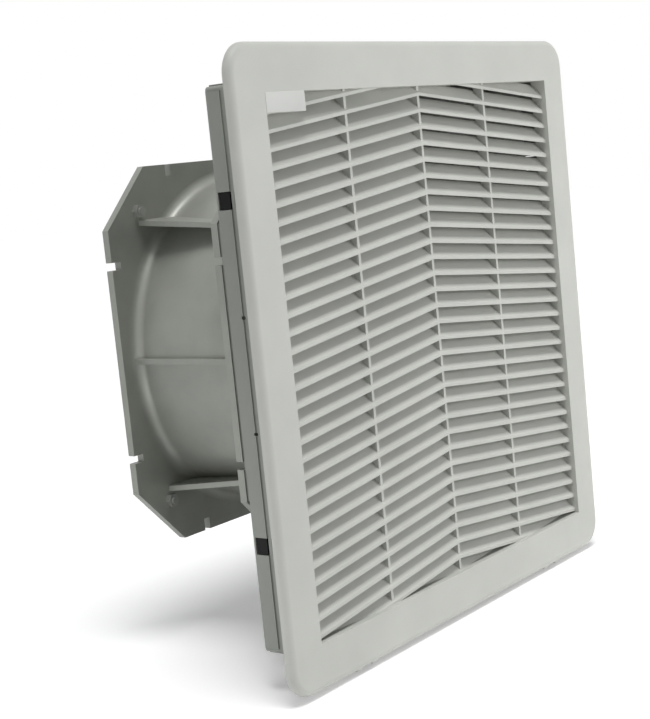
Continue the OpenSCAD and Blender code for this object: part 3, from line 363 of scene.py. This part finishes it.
housing_alloy = cast_metal("housing_alloy", paint(150, 152, 145), 0.42, 0.30)
carrier_alloy = drawn_metal("carrier_alloy", paint(178, 180, 182), 0.36)
screw_zinc = cast_metal("screw_zinc", paint(164, 165, 161), 0.42, 0.7, grain_mm=0.7)
guard_wire = drawn_metal("guard_wire", paint(205, 207, 210), 0.24)
core_steel = drawn_metal("core_steel", paint(96, 98, 104), 0.45, (0.2, 3.0, 0.2))
bearing_steel = drawn_metal("bearing_steel", paint(208, 210, 214), 0.18)
shaft_steel = drawn_metal("shaft_steel", paint(200, 202, 206), 0.22)
circlip_steel = drawn_metal("circlip_steel", paint(120, 122, 130), 0.35)
winding_copper = drawn_metal("winding_copper", paint(176, 98, 52), 0.32, (3.0, 0.4, 3.0))
terminal_brass = cast_metal("terminal_brass", paint(196, 172, 110), 0.3, 1.0, grain_mm=0.6)
rotor_paint = cast_metal("rotor_paint", paint(38, 39, 41), 0.4, 0.0, grain_mm=1.0)
wear(housing_alloy, "fan_housing")
wear(carrier_alloy, "stator_carrier")
wear(screw_zinc, "hinge_pins", "housing_screws", "guard_screws", "guard_nuts", "carrier_screws",
     "block_screws", "capacitor_strap")
wear(guard_wire, "rear_guard")
wear(core_steel, "stator_core", "rotor_core")
wear(bearing_steel, "front_bearing", "rear_bearing")
wear(shaft_steel, "motor_shaft")
wear(circlip_steel, "shaft_circlip")
wear(winding_copper, "stator_winding")
wear(terminal_brass, "terminal_screws", "earth_screw")
wear(rotor_paint, "rotor_cup")

# %% [markdown]
# ### Rubber, foam and fibre
# Lead sheaths and the grommet are satin black rubber. The gasket is closed-cell foam, with pores
# a fraction of a millimetre wide. The mat is loose grey fibre, so it scatters light: it gets
# sheen, little gloss, and a stringy pattern from noise that is stretched along the sheet.

# %% Soft finishes
def rubber(name, colour, roughness, pore_mm, depth_mm):
    """Rubber or foam with pores of a given width and depth."""
    finish = new_finish(name, roughness)
    mottle(finish, noise_on(finish, 12, 2.0), shaded(colour, 0.8), shaded(colour, 1.2))
    emboss(finish, noise_on(finish, pore_mm, 2.0), depth_mm, 0.5)
    vary_gloss(finish, noise_on(finish, 3.0, 2.0), roughness - 0.08, roughness + 0.08)
    return finish


sheath_rubber = rubber("sheath_rubber", paint(34, 34, 36), 0.5, 1.2, 0.05)
gasket_foam = rubber("gasket_foam", paint(26, 26, 27), 0.9, 0.5, 0.2)
wear(sheath_rubber, "lead_grommet")

mat_fibre = new_finish("mat_fibre", 1.0)
principled(mat_fibre).inputs["Sheen Weight"].default_value = 0.4
principled(mat_fibre).inputs["Specular IOR Level"].default_value = 0.1
strands = noise_on(mat_fibre, 1.6, 6.0, (0.6, 1.0, 1.8))
mottle(mat_fibre, strands, paint(84, 85, 81), paint(124, 125, 121))
emboss(mat_fibre, strands, 0.8, 0.8)
print("finishes made:", len(bpy.data.materials))

# %% [markdown]
# ## Pieces modelled by hand
# Each piece below starts as a primitive at its size and place, is shaped in edit mode, and ends
# with its place in its mesh, because the finishes read Object coordinates. Everything is
# deselected first: an operator acts on all that is selected.

# %% Helpers for the pieces
def deselect_all():
    if bpy.context.mode != "OBJECT":
        bpy.ops.object.mode_set(mode="OBJECT")
    bpy.ops.object.select_all(action="DESELECT")


def take(piece):
    """Makes a piece the only one selected, and active."""
    deselect_all()
    piece.select_set(True)
    bpy.context.view_layer.objects.active = piece


def apply_modifier(piece, kind, **settings):
    """Adds a modifier, sets it and applies it at once."""
    take(piece)
    modifier = piece.modifiers.new(kind.lower(), kind)
    for setting, value in settings.items():
        setattr(modifier, setting, value)
    bpy.ops.object.modifier_apply(modifier=modifier.name)


def select_facing(piece, direction, limit=0.9):
    """Selects the faces whose normal points in a direction, and goes back to edit mode."""
    bpy.ops.object.mode_set(mode="OBJECT")
    for face in piece.data.polygons:
        face.select = face.normal.dot(Vector(direction)) > limit
    bpy.ops.object.mode_set(mode="EDIT")


def finish_piece(piece, name, finish, body, slot, *nodes, smooth_deg=35):
    """Puts the place in the mesh, smooths the shading, gives the piece its finish and body, and
    hides its CAD nodes.
    """
    take(piece)
    bpy.ops.object.transform_apply(location=True, rotation=True, scale=True)
    bpy.ops.object.shade_smooth_by_angle(angle=math.radians(smooth_deg))
    piece.name = name
    piece.data.name = name
    piece.data.materials.clear()
    piece.data.materials.append(finish)
    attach(piece, body)
    if nodes:
        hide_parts(*nodes)
    print(name, "has", len(piece.data.polygons), "faces")


def block_at(low, high):
    """A box between two corners, as a start."""
    deselect_all()
    bpy.ops.mesh.primitive_cube_add(size=1, location=(low + high) / 2)
    piece = bpy.context.object
    piece.scale = high - low
    bpy.ops.object.transform_apply(location=True, rotation=True, scale=True)
    return piece


# %% [markdown]
# ### Blank badge
# A small pale plate sits in the window's upper left corner. It is blank: a thin moulded tile with
# softly rounded front edges and a shallow recess in its face. It could be extruded from a
# rectangle, but a box that is inset and pushed back a little gives the recess in two steps.

# %% Model the badge
BADGE_RIM = 0.9 * MM
BADGE_RECESS = 0.15 * MM
BADGE_ROUND = 0.25 * MM

badge_white = moulded("badge_white", paint(208, 209, 205), 0.48, grain_mm=0.6,
                      grain_depth_mm=0.01)
low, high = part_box("badge_plate")
badge = block_at(low, high)
select_facing(badge, (0, -1, 0))
bpy.ops.mesh.inset(thickness=BADGE_RIM, depth=0)
bpy.ops.transform.translate(value=(0, BADGE_RECESS, 0))
bpy.ops.object.mode_set(mode="OBJECT")
apply_modifier(badge, "BEVEL", width=BADGE_ROUND, segments=3, limit_method="ANGLE")
finish_piece(badge, "badge", badge_white, "cover", "badge_plastic", "badge_plate")

# %% [markdown]
# ### Foam gasket
# A strip of foam lies in a groove around the cut-out and seals the frame to the panel. It could
# be extruded along a path, but a plane is quicker: inset it for the strip's width, drop the
# middle, extrude the ring to its thickness, and round its free edges.

# %% Model the gasket
GASKET_WIDTH = 3.5 * MM
GASKET_ROUND = 0.5 * MM

low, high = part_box("panel_gasket")
deselect_all()
bpy.ops.mesh.primitive_plane_add(size=high.x - low.x, location=(0, low.y, 0),
                                 rotation=(math.radians(90), 0, 0))
gasket = bpy.context.object
bpy.ops.object.transform_apply(location=True, rotation=True, scale=True)
bpy.ops.object.mode_set(mode="EDIT")
bpy.ops.mesh.inset(thickness=GASKET_WIDTH, depth=0)
bpy.ops.mesh.delete(type="FACE")
bpy.ops.mesh.select_all(action="SELECT")
bpy.ops.mesh.extrude_region_move(
    TRANSFORM_OT_translate={"value": (0, high.y - low.y, 0)})
bpy.ops.mesh.select_all(action="SELECT")
bpy.ops.mesh.normals_make_consistent(inside=False)
bpy.ops.object.mode_set(mode="OBJECT")
apply_modifier(gasket, "BEVEL", width=GASKET_ROUND, segments=3, limit_method="ANGLE")
finish_piece(gasket, "gasket", gasket_foam, "frame", "gasket_foam", "panel_gasket")

# %% [markdown]
# ### Filter mat
# The mat is a loose pad of bonded fibre. A voxel remesh of a box gives even faces, and two
# Displace modifiers with cloud textures then give it the slow waves of a pad that is held at
# its edges, and the small lumps of its fibres. It starts a little smaller than its CAD solid,
# so that the lumps stay inside it.

# %% Model the filter mat
MAT_INSET = Vector((1.2, 0.9, 1.2)) * MM
MAT_ROUND = 4 * MM
MAT_VOXEL = 3.2 * MM
WAVE_SIZE_MM, WAVE_HEIGHT = 60, 1.0 * MM
LUMP_SIZE_MM, LUMP_HEIGHT = 7, 0.8 * MM


def clouds(name, size_mm):
    """A soft cloud texture for a Displace modifier."""
    texture = bpy.data.textures.new(name, "CLOUDS")
    texture.noise_scale = size_mm * MM
    texture.noise_depth = 2
    return texture


low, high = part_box("filter_mat")
mat = block_at(low + MAT_INSET, high - MAT_INSET)
apply_modifier(mat, "BEVEL", width=MAT_ROUND, segments=4, limit_method="ANGLE")
apply_modifier(mat, "REMESH", mode="VOXEL", voxel_size=MAT_VOXEL)
apply_modifier(mat, "DISPLACE", texture=clouds("mat_waves", WAVE_SIZE_MM), strength=WAVE_HEIGHT,
               texture_coords="LOCAL")
apply_modifier(mat, "DISPLACE", texture=clouds("mat_lumps", LUMP_SIZE_MM), strength=LUMP_HEIGHT,
               texture_coords="LOCAL")
apply_modifier(mat, "SUBSURF", levels=1, render_levels=1)
finish_piece(mat, "fibre_mat", mat_fibre, "frame", "mat_fibre", "filter_mat", smooth_deg=60)

# %% [markdown]
# ### Fan wheel
# The blades are twisted and swept, and the CAD model holds them as a grid of flat triangles. A
# copy of it has its loose triangles merged, which lets the shading run smoothly over a blade and
# still break at the hub's edges and at the blade's tip. New blades could be bent from planes, but
# they would leave the shape that the CAD model is tested with.

# %% Smooth the fan wheel
MERGE_WITHIN = 0.01 * MM


def smooth_twin(node):
    """A merged copy of a CAD node, free to take smooth shading."""
    take(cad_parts[node])
    bpy.ops.object.duplicate()
    twin = bpy.context.object
    for key in list(twin.keys()):
        del twin[key]
    twin.parent = None
    bpy.ops.object.mode_set(mode="EDIT")
    bpy.ops.mesh.select_all(action="SELECT")
    bpy.ops.mesh.remove_doubles(threshold=MERGE_WITHIN)
    bpy.ops.object.mode_set(mode="OBJECT")
    return twin


wheel = smooth_twin("impeller")
finish_piece(wheel, "fan_wheel", rotor_paint, "rotor", "rotor_paint", "impeller", smooth_deg=32)

# %% [markdown]
# ### Leads
# The motor lead runs from the stator through the grommet, down beside the duct and along the
# frame to the terminal block. The capacitor's lead joins it there. Both are round and smooth, so
# each is a curve through the same points as its CAD solid, with a round section and closed ends.

# %% Model the leads
MOTOR_LEAD_MM = [
    (34, 128, 9.2), (34, 133.5, 9.2), (36.5, 137.2, 9.2), (42, 138.6, 9.2), (74, 137.9, 9.2),
    (82, 132.5, 9.2), (90, 128.5, 9.2), (101, 128.5, 9.2), (109, 126.5, 9.2), (114, 120, 8.7),
    (115.5, 110, 7.7), (115.5, 96, 6.2), (117.5, 71, 2), (121, 63, 0), (125.5, 54, -3.5),
    (127.3, 46, -8.5), (127.3, 41, -15.5), (127.3, 37.5, -22), (127.3, 36.5, -26),
    (127.3, 36.5, -29)]
CAPACITOR_LEAD_MM = [
    (129, 36.5, 40), (129, 36.5, 34), (129.2, 34.5, 27), (129.3, 32.5, 19), (128.9, 30.9, 10),
    (128.7, 30.7, -2), (128.5, 30.7, -14), (128.5, 30.7, -22), (128.5, 30.7, -29)]
MOTOR_LEAD_RADIUS_MM = 2.55
CAPACITOR_LEAD_RADIUS_MM = 1.35


def lead(name, route_mm, radius_mm, node):
    """A round lead along a route, as a mesh."""
    curve = bpy.data.curves.new(name, "CURVE")
    curve.dimensions = "3D"
    curve.resolution_u = 6
    curve.bevel_depth = radius_mm * MM
    curve.bevel_resolution = 5
    curve.use_fill_caps = True
    spline = curve.splines.new("BEZIER")
    spline.bezier_points.add(len(route_mm) - 1)
    for point, spot in zip(spline.bezier_points, route_mm):
        point.co = Vector(spot) * MM
        point.handle_left_type = point.handle_right_type = "AUTO"
    piece = bpy.data.objects.new(name, curve)
    bpy.context.scene.collection.objects.link(piece)
    take(piece)
    bpy.ops.object.convert(target="MESH")
    piece = bpy.context.object
    finish_piece(piece, name, sheath_rubber, "frame", "lead_sheath", node)


lead("motor_cable", MOTOR_LEAD_MM, MOTOR_LEAD_RADIUS_MM, "motor_lead")
lead("capacitor_cable", CAPACITOR_LEAD_MM, CAPACITOR_LEAD_RADIUS_MM, "capacitor_lead")
